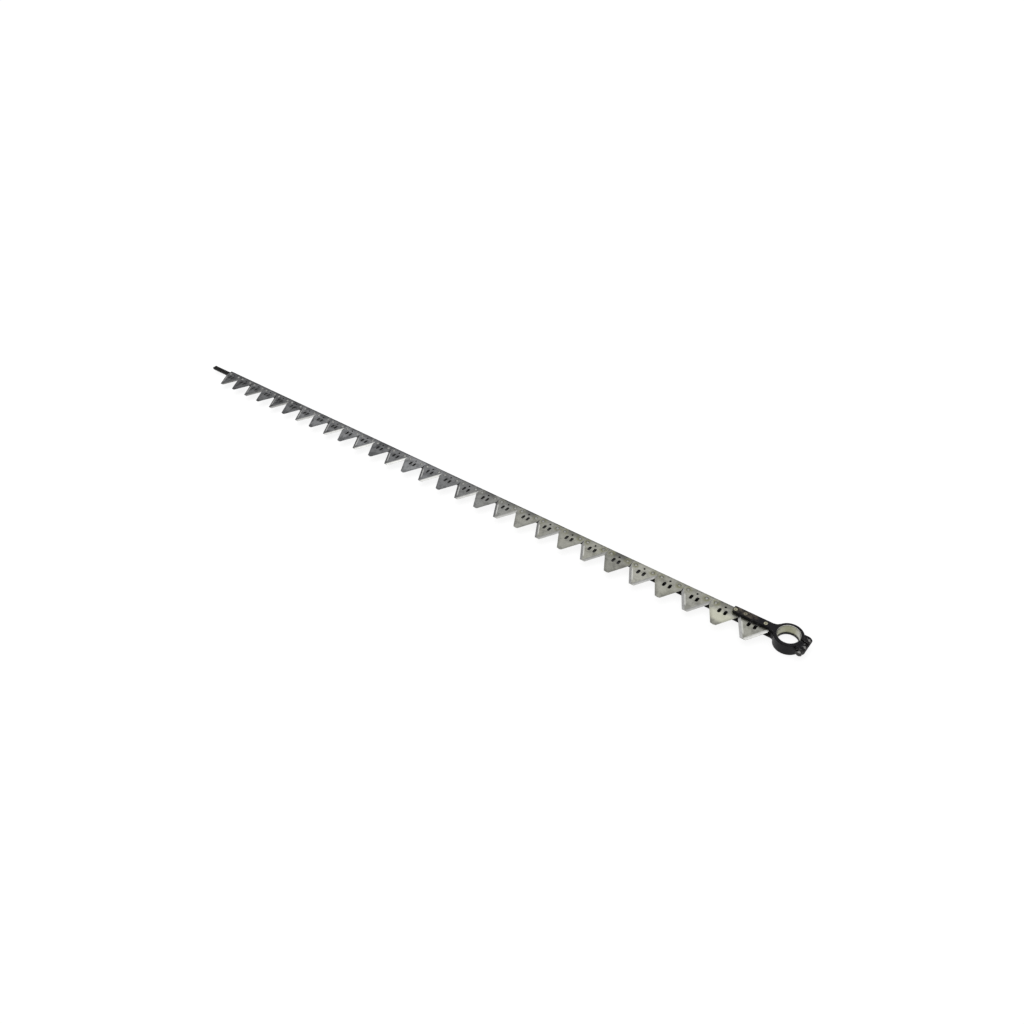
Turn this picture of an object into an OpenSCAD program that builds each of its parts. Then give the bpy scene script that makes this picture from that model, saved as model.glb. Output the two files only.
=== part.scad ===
// Mower sickle: a cutter-bar knife with triangular sections riveted to a flat back,
// a split-eye knife head at the drive end and a bare tail at the other end.
// The origin is on the axis of the drive eye, level with the top faces of the sections.
// +X runs along the knife towards the drive eye, -Y towards the section tips, +Z up.
// All sizes are in millimetres.

/* [Knife sections] */
// Number of sections along the knife
section_count = 29; // [6:1:40]
// Distance from one section to the next
section_pitch = 76.2; // [72:0.1:90]
// Thickness of a section
section_t = 3; // [2:0.1:4.5]
// Distance from the rivet line to the tip
tip_reach = 60.6; // [50:0.1:75]
// Distance from the rivet line to the back edge
heel_reach = 12.3; // [9:0.1:18]
// Distance from the rivet line to the root of the notch between two sections
root_reach = 12; // [9:0.1:18]
// Width of the blunt tip
tip_w = 14.6; // [8:0.1:24]
// Free space between neighbouring sections
section_gap = 0.3; // [0.1:0.05:1]
// Width of the ground bevel, measured square to the cutting edge
bevel_w = 6.5; // [3:0.1:10]
// Thickness left at the cutting edge
edge_t = 0.6; // [0.2:0.05:1.2]
// Diameter of the locating hole in the middle of a section
locating_d = 5.5; // [3:0.1:8]
// Length of an oval slot
slot_len = 15; // [9:0.1:18]
// Width of an oval slot
slot_w = 7.8; // [4:0.1:9]
// Distance between the two slots of a section
slot_spacing = 16; // [12:0.1:24]
// Distance from the rivet line to the middle of the slots
slot_reach = 16; // [12:0.1:26]

/* [Knife back] */
// Width of the back
back_w = 15.9; // [12:0.1:26]
// Thickness of the back
back_t = 7.9; // [5:0.1:12]
// Length of the bare tail beyond the first section
tail_len = 102; // [20:1:160]
// Bevelled corner at the end of the tail
tail_chamfer = 0.8; // [0.3:0.1:5]
// Broken long edges of the knife back and the backing bar
bar_edge = 0.6; // [0.2:0.1:1.5]

/* [Rivets] */
// Distance between the two rivets of a section
rivet_spacing = 50.8; // [40:0.1:60]
// Diameter of a rivet shank
rivet_d = 6.35; // [4:0.05:8]
// Diameter of the low head on top of a section
rivet_head_d = 10.6; // [9:0.1:14]
// Height of the low head
rivet_head_h = 1.9; // [1:0.1:3]
// Diameter of the flush end in the underside
sink_d = 9.6; // [8.6:0.1:12]
// Diameter of the flush rivet ends in the strap
strap_sink_d = 9; // [8.2:0.1:11]
// Height by which the rivet ends stand proud of the strap
strap_sink_proud = 0.5; // [0.2:0.1:1.5]
// Radial clearance around a rivet
rivet_clear = 0.1; // [0.05:0.01:0.3]

/* [Backing bar] */
// Number of whole sections that the backing bar lies under
backing_sections = 4; // [2:1:5]
// Width of the backing bar
backing_w = 25.4; // [18:0.1:32]
// Thickness of the backing bar
backing_t = 6.35; // [4:0.05:10]
// Length of the backing bar beyond its first rivet
backing_lead = 12.7; // [9:0.1:20]

/* [Knife head] */
// Width of the strap on top of the sections
strap_w = 17.7; // [16:0.1:22]
// Distance from the rivet line back to the middle of the strap
strap_offset = 2.1; // [0:0.1:3]
// Thickness of the strap
strap_t = 9.4; // [7:0.1:14]
// Length of the strap beyond the end of its first rivet
strap_margin = 1.5; // [0.8:0.1:8]
// Bevelled corners at the end of the strap
strap_corner = 2.5; // [0.5:0.1:5]
// Broken edge along the strap's lower edges
strap_low_chamfer = 0.6; // [0.3:0.1:2]
// Broken edge along the strap's upper edges
strap_top_chamfer = 0.8; // [0.3:0.1:1.6]
// Radius of the fillet between the strap and the eye
neck_fillet = 14; // [8:0.5:20]
// Free space from the last section to the heel of the head
heel_gap = 6.9; // [3:0.1:20]
// Distance by which the heel stands out of the eye
heel_proud = 2.7; // [1:0.1:6]
// Radius of the fillets between the heel and the eye
heel_fillet = 7; // [3:0.1:7.5]
// Fitting clearance between the heel and the ends of the bars
heel_clear = 0.2; // [0.05:0.05:0.5]

/* [Drive eye] */
// Diameter of the bearing seat
seat_d = 51; // [40:0.1:60]
// Depth of the bearing seat, measured from the top of the eye
seat_depth = 23; // [16:0.1:26]
// Radial step from the seat to the lower bore
seat_step = 0.8; // [0.4:0.1:2.5]
// Bevelled edge at the upper end of the bore
bore_chamfer = 1.2; // [0.4:0.1:2]
// Bevelled edge at the lower end of the bore
lower_bevel = 3.5; // [0.5:0.1:5]
// Wall of the eye around the bearing seat
eye_wall = 8.8; // [7:0.1:12]
// Height of the eye
eye_h = 33.4; // [30:0.1:40]
// Height of the eye's top above the sections
eye_top = 9.8; // [8:0.1:14]
// Bevelled outer edges of the eye
eye_chamfer = 1.4; // [0.3:0.1:2]

/* [Clamp ears] */
// Distance from the eye's wall to the round end of the ears
ear_len = 13.7; // [12.5:0.1:20]
// Width over both ears
ear_w = 42; // [38:0.1:48]
// Height of the ears, which end in a half round
ear_h = 21; // [19:0.1:23]
// Broken outer edges of the ears
ear_chamfer = 1; // [0.3:0.1:1.8]
// Width of the split between the ears
slit_w = 5; // [2:0.1:8]
// Distance from the top of the eye down to the clamp bolt
clamp_drop = 12.8; // [12:0.1:20]
// Diameter of the clamp bolt
clamp_d = 9.5; // [6:0.1:10]
// Radial clearance around the clamp bolt
clamp_clear = 0.3; // [0.1:0.05:0.6]
// Width across the flats of the bolt head and the nut
clamp_flats = 14.3; // [12.5:0.1:15]
// Height of the bolt head with its flange
clamp_head_h = 9; // [7:0.1:12]
// Diameter of the flange of the bolt head
clamp_flange_d = 19.8; // [18:0.1:21]
// Height of the flange of the bolt head
clamp_flange_h = 2.6; // [1.5:0.1:4]
// Height of the nut
clamp_nut_h = 8.3; // [6:0.1:10]
// Depth of the nut below the side of its ear
nut_sunk = 0.5; // [0.2:0.1:3]
// Clearance around the nut in its pocket
pocket_clear = 0.2; // [0.1:0.05:0.4]
// Length of the bolt beyond its ear
clamp_end = 3; // [1:0.1:8]
// Radial clearance between the nut and the bolt
thread_clear = 0.1; // [0.05:0.01:0.2]

/* [Hidden] */
$fn = 64;

// Extra length for cutting tools, so that no cut ends level with a face
over = 5;

function section_name(n) = str("section_", n < 10 ? "0" : "", n);

steel_grey = [0.55, 0.55, 0.51];
rivet_grey = [0.46, 0.46, 0.42];
bar_black = [0.10, 0.10, 0.10];
casting_black = [0.13, 0.12, 0.12];
bright_steel = [0.66, 0.66, 0.60];

// Heights of the stack, from the top faces of the sections downwards
back_top = -section_t;
back_bottom = back_top - back_t;
backing_bottom = back_bottom - backing_t;

// Places along the knife, from the drive eye to the tail
seat_r = seat_d / 2;
eye_r = seat_r + eye_wall;
heel_x = -(eye_r + heel_proud);
bars_end_x = heel_x - heel_clear;
last_section_x = heel_x - heel_gap - section_pitch / 2;
tail_x = section_x(1) - section_pitch / 2 - tail_len;

// Every rivet hole along the knife, two to a section
rivet_xs = [for (n = [1:section_count]) for (side = [-1, 1]) section_x(n) + side * rivet_spacing / 2];
strap_first_x = section_x(section_count - 1) + rivet_spacing / 2;
backing_first_x = section_x(section_count - backing_sections) + rivet_spacing / 2;
backing_x = backing_first_x - backing_lead;
strap_x = strap_first_x - strap_sink_d / 2 - strap_margin;

// The strap holds the last rivet of one section and both rivets of the next
function section_x(n) = last_section_x - (section_count - n) * section_pitch;
function under_strap(x) = x > strap_first_x - rivet_d;
function over_backing(x) = x > backing_first_x - rivet_d;
function stack_bottom(x) = over_backing(x) ? backing_bottom : back_bottom;

// Heights of the drive eye
eye_bottom = eye_top - eye_h;
seat_bottom = eye_top - seat_depth;
lower_bore_r = seat_r - seat_step;

// Clamp bolt across the ears, in the middle of their round ends
ear_r = ear_h / 2;
clamp_x = eye_r + ear_len - ear_r;
clamp_z = eye_top - clamp_drop;
pocket_y = ear_w / 2 - nut_sunk - clamp_nut_h;

// Knife sections

section_half_w = (section_pitch - section_gap) / 2;

module section_outline() {
    polygon([
        [-section_half_w, heel_reach],
        [section_half_w, heel_reach],
        [section_half_w, -root_reach],
        [tip_w / 2, -tip_reach],
        [-tip_w / 2, -tip_reach],
        [-section_half_w, -root_reach]
    ]);
}

// Everything above the plane of one ground bevel, from the root of the notch to the tip
module bevel_cut() {
    run = [tip_w / 2 - section_half_w, root_reach - tip_reach];
    slope = atan((section_t - edge_t) / bevel_w);
    translate([section_half_w, -root_reach, edge_t - section_t])
        rotate([0, 0, atan2(run[1], run[0])])
            rotate([-slope, 0, 0])
                translate([-3 * bevel_w, -2 * bevel_w, 0])
                    cube([norm(run) + 6 * bevel_w, 4 * bevel_w, 2 * section_t]);
}

module oval_slot() {
    straight = slot_len - slot_w;
    for (end = [-1, 1])
        translate([0, end * straight / 2, 0])
            cylinder(d = slot_w, h = section_t + 2 * over);
    translate([-slot_w / 2, -straight / 2, 0])
        cube([slot_w, straight, section_t + 2 * over]);
}

module section_holes() {
    translate([0, 0, -section_t - over]) {
        for (side = [-1, 1]) {
            translate([side * rivet_spacing / 2, 0, 0])
                cylinder(r = rivet_d / 2 + rivet_clear, h = section_t + 2 * over);
            translate([side * slot_spacing / 2, -slot_reach, 0])
                oval_slot();
        }
        cylinder(d = locating_d, h = section_t + 2 * over);
    }
}

module ground_plate() {
    difference() {
        translate([0, 0, -section_t])
            linear_extrude(section_t)
                section_outline();
        for (side = [0, 1])
            mirror([side, 0, 0])
                bevel_cut();
    }
}

// Odd sections have the bevel on top, even sections lie the other way up
module knife_section(n) {
    bevel_up = n % 2 == 1;
    color(steel_grey)
        translate([section_x(n), 0, 0])
            difference() {
                if (bevel_up)
                    ground_plate();
                else
                    translate([0, 0, -section_t])
                        mirror([0, 0, 1])
                            ground_plate();
                section_holes();
            }
}

// Rivets

// Shank and flush conical end of a rivet, or of its hole when given a clearance
module rivet_body(top, bottom, clear = 0) {
    r = rivet_d / 2 + clear;
    sink_r = sink_d / 2 + clear;
    translate([0, 0, bottom])
        cylinder(r = r, h = top - bottom);
    translate([0, 0, bottom])
        cylinder(r1 = sink_r, r2 = r, h = sink_r - r);
}

module rivet_dome() {
    dome_r = (pow(rivet_head_d / 2, 2) + pow(rivet_head_h, 2)) / (2 * rivet_head_h);
    intersection() {
        translate([0, 0, rivet_head_h - dome_r])
            sphere(r = dome_r);
        cylinder(d = rivet_head_d, h = rivet_head_h);
    }
}

module section_rivets() {
    color(rivet_grey)
        for (x = rivet_xs)
            if (!under_strap(x))
                translate([x, 0, 0]) {
                    rivet_body(0, stack_bottom(x));
                    rivet_dome();
                }
}

// Conical end of a rivet in the strap, from the strap's top face down to the shank
module strap_end(clear = 0) {
    r = rivet_d / 2 + clear;
    end_r = strap_sink_d / 2 + clear;
    translate([0, 0, strap_t - (end_r - r)])
        cylinder(r1 = r, r2 = end_r, h = end_r - r);
}

module head_rivets() {
    color(bright_steel)
        for (x = rivet_xs)
            if (under_strap(x))
                translate([x, 0, 0]) {
                    rivet_body(strap_t, stack_bottom(x));
                    strap_end();
                    translate([0, 0, strap_t])
                        cylinder(d = strap_sink_d, h = strap_sink_proud);
                }
}

// Bars

// A rectangle on the line y = 0, with its lower and its upper corners cut off
module broken_rectangle(width, height, low, high) {
    side = width / 2;
    polygon([
        [low - side, 0],
        [side - low, 0],
        [side, low],
        [side, height - high],
        [side - high, height],
        [high - side, height],
        [-side, height - high],
        [-side, low]
    ]);
}

// Room around a bar, seen from above, that bevels both corners of the end at start_x
module end_room(start_x, end_x, width, corner) {
    side = width / 2;
    polygon([
        [start_x, corner - side],
        [start_x, side - corner],
        [start_x + corner + over, side + over],
        [end_x + over, side + over],
        [end_x + over, -side - over],
        [start_x + corner + over, -side - over]
    ]);
}

module knife_back() {
    color(bar_black)
        difference() {
            intersection() {
                translate([tail_x - over, 0, back_bottom])
                    rotate([90, 0, 90])
                        linear_extrude(bars_end_x - tail_x + over)
                            broken_rectangle(back_w, back_t, bar_edge, bar_edge);
                translate([0, 0, back_bottom - over])
                    linear_extrude(back_t + 2 * over)
                        end_room(tail_x, bars_end_x, back_w, tail_chamfer);
            }
            for (x = rivet_xs)
                translate([x, 0, 0])
                    if (over_backing(x))
                        translate([0, 0, back_bottom - over])
                            cylinder(r = rivet_d / 2 + rivet_clear, h = back_t + 2 * over);
                    else
                        rivet_body(over, back_bottom, rivet_clear);
        }
}

module head_backing_bar() {
    color(bar_black)
        difference() {
            translate([backing_x, 0, backing_bottom])
                rotate([90, 0, 90])
                    linear_extrude(bars_end_x - backing_x)
                        broken_rectangle(backing_w, backing_t, bar_edge, bar_edge);
            for (x = rivet_xs)
                if (over_backing(x))
                    translate([x, 0, 0])
                        rivet_body(over, backing_bottom, rivet_clear);
        }
}

// Knife head

module strap() {
    translate([0, strap_offset, 0])
        intersection() {
            translate([strap_x - over, 0, 0])
                rotate([90, 0, 90])
                    linear_extrude(over - strap_x)
                        broken_rectangle(strap_w, strap_t, strap_low_chamfer, strap_top_chamfer);
            translate([0, 0, -over])
                linear_extrude(strap_t + 2 * over)
                    end_room(strap_x, 0, strap_w, strap_corner);
        }
}

// Fills the corner between the eye and a side at y = side with a fillet that touches both,
// but nothing beyond limit_x
module shoulder(side, fillet, bottom, height, limit_x) {
    fillet_y = side + fillet;
    fillet_x = -sqrt(pow(eye_r + fillet, 2) - pow(fillet_y, 2));
    touch_y = fillet_y * eye_r / (eye_r + fillet);
    start_x = max(fillet_x, limit_x);
    difference() {
        translate([start_x, 0, bottom])
            cube([-start_x, touch_y, height]);
        translate([fillet_x, fillet_y, bottom - over])
            cylinder(r = fillet, h = height + 2 * over);
    }
}

module neck() {
    shoulder(strap_w / 2 + strap_offset, neck_fillet, 0, strap_t, strap_x);
    mirror([0, 1, 0])
        shoulder(strap_w / 2 - strap_offset, neck_fillet, 0, strap_t, strap_x);
}

module heel() {
    translate([heel_x, -backing_w / 2, backing_bottom])
        cube([-heel_x, backing_w, -backing_bottom]);
    for (side = [0, 1])
        mirror([0, side, 0])
            shoulder(backing_w / 2, heel_fillet, backing_bottom, -backing_bottom, heel_x);
}

module eye_body() {
    rotate_extrude()
        polygon([
            [0, eye_bottom],
            [eye_r - eye_chamfer, eye_bottom],
            [eye_r, eye_bottom + eye_chamfer],
            [eye_r, eye_top - eye_chamfer],
            [eye_r - eye_chamfer, eye_top],
            [0, eye_top]
        ]);
}

// Both ears in one, with a half round about the clamp bolt
module ears() {
    side = ear_w / 2;
    translate([clamp_x, 0, clamp_z])
        rotate([90, 0, 0])
            rotate_extrude()
                polygon([
                    [0, -side],
                    [ear_r - ear_chamfer, -side],
                    [ear_r, ear_chamfer - side],
                    [ear_r, side - ear_chamfer],
                    [ear_r - ear_chamfer, side],
                    [0, side]
                ]);
    translate([0, 0, clamp_z - ear_r])
        rotate([90, 0, 90])
            linear_extrude(clamp_x)
                broken_rectangle(ear_w, ear_h, ear_chamfer, ear_chamfer);
}

// Bearing seat from the top, a smaller bore below it and a bevelled edge at both ends
module eye_bore() {
    translate([0, 0, seat_bottom])
        cylinder(r = seat_r, h = seat_depth + over);
    translate([0, 0, eye_bottom - over])
        cylinder(r = lower_bore_r, h = eye_h);
    translate([0, 0, eye_top - bore_chamfer])
        cylinder(r1 = seat_r, r2 = seat_r + bore_chamfer, h = bore_chamfer);
    translate([0, 0, eye_bottom])
        cylinder(r1 = lower_bore_r + lower_bevel, r2 = lower_bore_r, h = lower_bevel);
}

// Room for the clamp bolt, for the flange of its head and for the nut
module clamp_hole() {
    translate([clamp_x, 0, clamp_z])
        rotate([-90, 0, 0]) {
            translate([0, 0, -ear_w / 2 - over])
                cylinder(r = clamp_d / 2 + clamp_clear, h = ear_w + 2 * over);
            translate([0, 0, -ear_w / 2 - clamp_head_h])
                cylinder(d = clamp_flange_d + 2 * clamp_clear, h = clamp_head_h);
            translate([0, 0, pocket_y])
                cylinder(r = hexagon_r(clamp_flats + 2 * pocket_clear), h = ear_w, $fn = 6);
        }
}

module knife_head() {
    color(casting_black)
        difference() {
            union() {
                strap();
                neck();
                heel();
                eye_body();
                ears();
            }
            eye_bore();
            translate([0, -slit_w / 2, eye_bottom - over])
                cube([eye_r + ear_len + over, slit_w, eye_h + 2 * over]);
            clamp_hole();
            for (x = rivet_xs)
                if (under_strap(x))
                    translate([x, 0, 0]) {
                        translate([0, 0, -over])
                            cylinder(r = rivet_d / 2 + rivet_clear, h = strap_t + 2 * over);
                        strap_end(rivet_clear);
                    }
        }
}

// Clamp bolt and nut

// Radius of a hexagon's corners from its width across flats
function hexagon_r(flats) = flats / 2 / cos(30);

// Hexagon with its corners turned down at the outer end
module hexagon(height) {
    corner_r = hexagon_r(clamp_flats);
    intersection() {
        cylinder(r = corner_r, h = height, $fn = 6);
        cylinder(r1 = corner_r + height, r2 = clamp_flats / 2, h = height, $fn = 64);
    }
}

// Flange with a straight edge that slopes up to the hexagon
module flange() {
    edge_h = clamp_flange_h / 2;
    cylinder(d = clamp_flange_d, h = edge_h);
    translate([0, 0, edge_h])
        cylinder(d1 = clamp_flange_d, d2 = 2 * hexagon_r(clamp_flats) + 1, h = clamp_flange_h - edge_h);
}

module clamp_bolt() {
    color(casting_black)
        translate([clamp_x, -ear_w / 2, clamp_z]) {
            rotate([90, 0, 0]) {
                flange();
                hexagon(clamp_head_h);
            }
            rotate([-90, 0, 0])
                cylinder(d = clamp_d, h = ear_w + clamp_end);
        }
}

// The nut sits in a pocket in the rear ear
module clamp_nut() {
    color(casting_black)
        translate([clamp_x, pocket_y, clamp_z])
            rotate([-90, 0, 0])
                difference() {
                    hexagon(clamp_nut_h);
                    translate([0, 0, -over])
                        cylinder(r = clamp_d / 2 + thread_clear, h = clamp_nut_h + 2 * over);
                }
}

knife_back();
for (n = [1:section_count])
    knife_section(n);
section_rivets();
head_backing_bar();
knife_head();
head_rivets();
clamp_bolt();
clamp_nut();
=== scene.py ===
"""Finishes and studio for a mower sickle, laid out as an add-on around the packed model."""

import math

import bmesh
import bpy
from bpy.props import FloatProperty, FloatVectorProperty, IntProperty, PointerProperty
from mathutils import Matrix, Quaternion, Vector


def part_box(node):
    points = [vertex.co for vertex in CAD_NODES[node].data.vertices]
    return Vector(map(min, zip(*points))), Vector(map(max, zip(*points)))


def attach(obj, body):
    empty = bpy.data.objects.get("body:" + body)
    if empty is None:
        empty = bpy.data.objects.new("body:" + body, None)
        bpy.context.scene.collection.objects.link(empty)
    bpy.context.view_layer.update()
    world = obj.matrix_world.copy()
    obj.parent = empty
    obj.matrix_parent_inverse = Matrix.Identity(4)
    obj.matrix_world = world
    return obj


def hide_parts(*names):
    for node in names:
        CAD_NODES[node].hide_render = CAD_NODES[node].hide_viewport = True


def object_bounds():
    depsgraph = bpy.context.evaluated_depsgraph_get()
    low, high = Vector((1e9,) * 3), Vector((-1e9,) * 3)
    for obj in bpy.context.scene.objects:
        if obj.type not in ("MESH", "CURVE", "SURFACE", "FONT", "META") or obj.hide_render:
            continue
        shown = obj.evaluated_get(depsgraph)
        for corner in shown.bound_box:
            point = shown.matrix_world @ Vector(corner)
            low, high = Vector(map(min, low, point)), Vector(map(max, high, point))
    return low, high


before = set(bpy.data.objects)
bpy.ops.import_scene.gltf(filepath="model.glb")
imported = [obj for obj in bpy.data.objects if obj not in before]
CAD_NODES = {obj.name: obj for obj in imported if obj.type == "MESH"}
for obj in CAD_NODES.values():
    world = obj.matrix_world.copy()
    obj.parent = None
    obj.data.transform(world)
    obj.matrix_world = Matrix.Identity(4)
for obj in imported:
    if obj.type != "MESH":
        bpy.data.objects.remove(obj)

bl_info = {
    "name": "Mower sickle finish",
    "version": (1, 0, 0),
    "blender": (4, 5, 0),
    "location": "3D View > Sidebar > Sickle",
    "description": "Finishes a mower sickle and sets it in a plain studio",
    "category": "Object",
}

# Places and sizes that come from the packed model

CAD_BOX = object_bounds()
SECTION_NAMES = sorted(n for n in CAD_NODES if n.startswith("section_") and n != "section_rivets")
SECTION_COUNT = len(SECTION_NAMES)


def middle_x(node):
    """Middle of a node along the knife."""
    low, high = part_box(node)
    return (low.x + high.x) / 2


FIRST_SECTION_X = middle_x(SECTION_NAMES[0])
LAST_SECTION_X = middle_x(SECTION_NAMES[-1])
SECTION_PITCH = (LAST_SECTION_X - FIRST_SECTION_X) / (SECTION_COUNT - 1)
SECTION_LOW, SECTION_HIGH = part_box(SECTION_NAMES[0])
SECTION_HALF_WIDTH = (SECTION_HIGH.x - SECTION_LOW.x) / 2
TIP_REACH = -SECTION_LOW.y
HEEL_REACH = SECTION_HIGH.y
FLOOR_Z = CAD_BOX[0].z
BOLT_LOW, BOLT_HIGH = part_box("clamp_bolt")
BOLT_MIDDLE = (BOLT_LOW + BOLT_HIGH) / 2

# Settings that a user would change


def colour(name, description, default):
    """A linear colour setting."""
    return FloatVectorProperty(
        name=name, description=description, default=default, subtype="COLOR", size=3, min=0, max=1
    )


def length(name, description, default):
    """A length setting in metres."""
    return FloatProperty(
        name=name, description=description, default=default, subtype="DISTANCE", unit="LENGTH", precision=5
    )


def share(name, description, default):
    """A setting from 0 to 1."""
    return FloatProperty(
        name=name, description=description, default=default, subtype="FACTOR", min=0, max=1
    )


class SectionLook(bpy.types.PropertyGroup):
    """Finish of the knife sections and their rivets, with their painted highlights and painted shade."""

    head_steel: colour("Steel at the head", "Flat steel next to the knife head", (0.385, 0.385, 0.345))
    tail_steel: colour("Steel at the tail", "Flat steel at the tail end", (0.345, 0.35, 0.358))
    ground_steel: colour("Ground steel", "Ground bevels next to the knife head", (0.75, 0.75, 0.725))
    # Painted shade: ground bevels darkened towards the tail
    shaded_ground_steel: colour("Shaded ground steel", "Ground bevels towards the tail, darkened as painted shade", (0.42, 0.42, 0.425))
    pale_film: colour("Pale film", "Dried film that lightens the steel", (0.37, 0.36, 0.29))
    # Painted highlight: the cream sheen on the front of sections by the head
    cream_sheen: colour("Cream sheen", "Painted highlight on the front of sections by the head", (0.62, 0.62, 0.50))
    # Also the colour of painted shade on slot walls and in corners
    dark_film_and_shade: colour("Dark film and shade", "Oil and scale that darken the steel, and painted shade in slots and corners", (0.035, 0.035, 0.037))
    olive_stain: colour("Olive stain", "Stain round the rivets", (0.20, 0.20, 0.11))
    rivet_steel: colour("Rivet steel", "Heads of the section rivets", (0.34, 0.34, 0.325))
    rivet_spacing: length("Rivet spacing", "Distance between the two rivets of a section", 0.0508)
    root_reach: length("Root reach", "From the rivet line to the root of a notch", 0.012)
    slot_reach: length("Slot reach", "From the rivet line to the middle of the slots", 0.016)
    tip_width: length("Tip width", "Width of the blunt tip", 0.0146)
    bevel_width: length("Bevel width", "Width of the ground bevel", 0.0065)
    tone_seed: FloatProperty(
        name="Tone seed", description="Picks the sections that are lighter or darker", default=6688.25
    )
    smudge_seed: FloatProperty(
        name="Smudge seed", description="Picks the sections with oil between their rivets", default=12972.25
    )


class BlackLook(bpy.types.PropertyGroup):
    """Finish of the bars, the knife head and the clamp bolt, with painted highlights on the head and the
    clamp.
    """

    bar_black: colour("Bar black", "Scale on the knife back and the backing bar", (0.007, 0.007, 0.008))
    bar_rust: colour("Bar brown", "Brown cast in the scale of the bars", (0.018, 0.015, 0.012))
    paint_black: colour("Paint black", "Paint on the knife head", (0.006, 0.006, 0.0085))
    strap_brown: colour("Strap brown", "Worn paint on top of the strap", (0.125, 0.106, 0.081))
    # Also the colour of painted highlights on the clamp ears and bolt
    bare_edge_and_highlight: colour("Bare edge and highlight", "Steel that shows on worn edges, and painted highlights on the clamp", (0.34, 0.335, 0.325))
    bolt_black: colour("Bolt black", "Oxide on the clamp bolt and nut", (0.055, 0.055, 0.055))
    seat_steel: colour("Seat steel", "Machined bearing seat", (0.31, 0.31, 0.21))
    # Painted highlight on the rim and right side of the bearing seat
    seat_rim_highlight: colour("Seat rim highlight", "Painted highlight on the bevelled rim and right side of the bearing seat, and its pale patches", (0.62, 0.62, 0.58))
    rivet_bright: colour("Bright rivet", "Flush rivet ends in the strap", (0.42, 0.41, 0.30))
    seat_radius: length("Seat radius", "Radius of the bearing seat", 0.0255)
    seat_bottom: length("Seat bottom", "Height of the shoulder under the bearing", -0.0132)
    rubbed_reach: length("Rubbed reach", "How far rubbed paint goes past the last section's middle", 0.012)
    # The next two place the painted highlights on the clamp ears
    ear_highlight_x: length("Ear highlight place", "Place of the painted highlights on the clamp ears", 0.0436)
    ear_highlight_y: length("Ear highlight spread", "Distance of the painted highlights from the middle of the slit", 0.0117)


class ThreadLook(bpy.types.PropertyGroup):
    """Shape of the clamp bolt's thread and head."""

    pitch: length("Pitch", "Distance from one thread to the next", 0.0015)
    depth: length("Depth", "Depth of the thread", 0.0007)
    threaded: length("Threaded length", "Length of the thread from the end of the bolt", 0.026)
    diameter: length("Diameter", "Diameter of the shank", 0.0095)
    flats: length("Across flats", "Width across the flats of the head", 0.0143)
    head_height: length("Head height", "Height of the head with its flange", 0.009)
    flange_diameter: length("Flange diameter", "Diameter of the flange of the head", 0.0198)
    flange_height: length("Flange height", "Height of the flange of the head", 0.0026)
    turns_sides: IntProperty(name="Sides", description="Sides of one turn", default=48, min=12, max=96)


class StudioLook(bpy.types.PropertyGroup):
    """Camera, lamps and floor."""

    camera_place: FloatVectorProperty(
        name="Camera place", description="Where the camera stands", size=3, subtype="TRANSLATION",
        unit="LENGTH", default=(0.3983, -1.1832, 1.4845)
    )
    camera_aim: FloatVectorProperty(
        name="Camera aim", description="Point that the camera looks at", size=3, subtype="TRANSLATION",
        unit="LENGTH", default=(-0.8158, -0.0181, 0.0)
    )
    camera_roll: FloatProperty(
        name="Camera roll", description="Turn of the camera about its own axis", subtype="ANGLE",
        default=math.radians(-9.083)
    )
    lens: FloatProperty(
        name="Lens", description="Focal length on a 36 mm sensor", subtype="DISTANCE_CAMERA", default=27.920
    )
    key_direction: FloatVectorProperty(
        name="Key direction", description="From the knife towards the overhead lamp", size=3,
        subtype="DIRECTION", default=(-0.25, 0.14, 0.96)
    )
    key_strength: FloatProperty(name="Key strength", description="Strength of the lamp above", default=0.25)
    key_angle: FloatProperty(
        name="Key width", description="How wide the overhead lamp looks from the knife", subtype="ANGLE",
        default=math.radians(46)
    )
    sky_low: FloatProperty(name="Low sky", description="Light from the sides of the studio", default=0.25)
    sky_high: FloatProperty(name="High sky", description="Light from the ceiling of the studio", default=1.15)
    floor_colour: colour("Floor colour", "Matt part of the floor, which takes the shadow", (0.22, 0.22, 0.22))
    floor_glow: share("Floor glow", "White that the floor shows by itself", 0.86)
    floor_shade: share("Floor shade", "Dark on the floor behind the slots of the sections", 0.96)
    tail_shade: share("Tail shade", "The same at the tail end", 0.88)
    floor_size: length("Floor size", "Side of the floor", 60.0)


# Node building

# Sockets of a Mix node by number, because its colours and its plain values go by the same names
MIX_COLOURS_IN = (0, 6, 7)
MIX_COLOUR_OUT = 2
MIX_VALUES_IN = (0, 2, 3)
MIX_VALUE_OUT = 0


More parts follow.
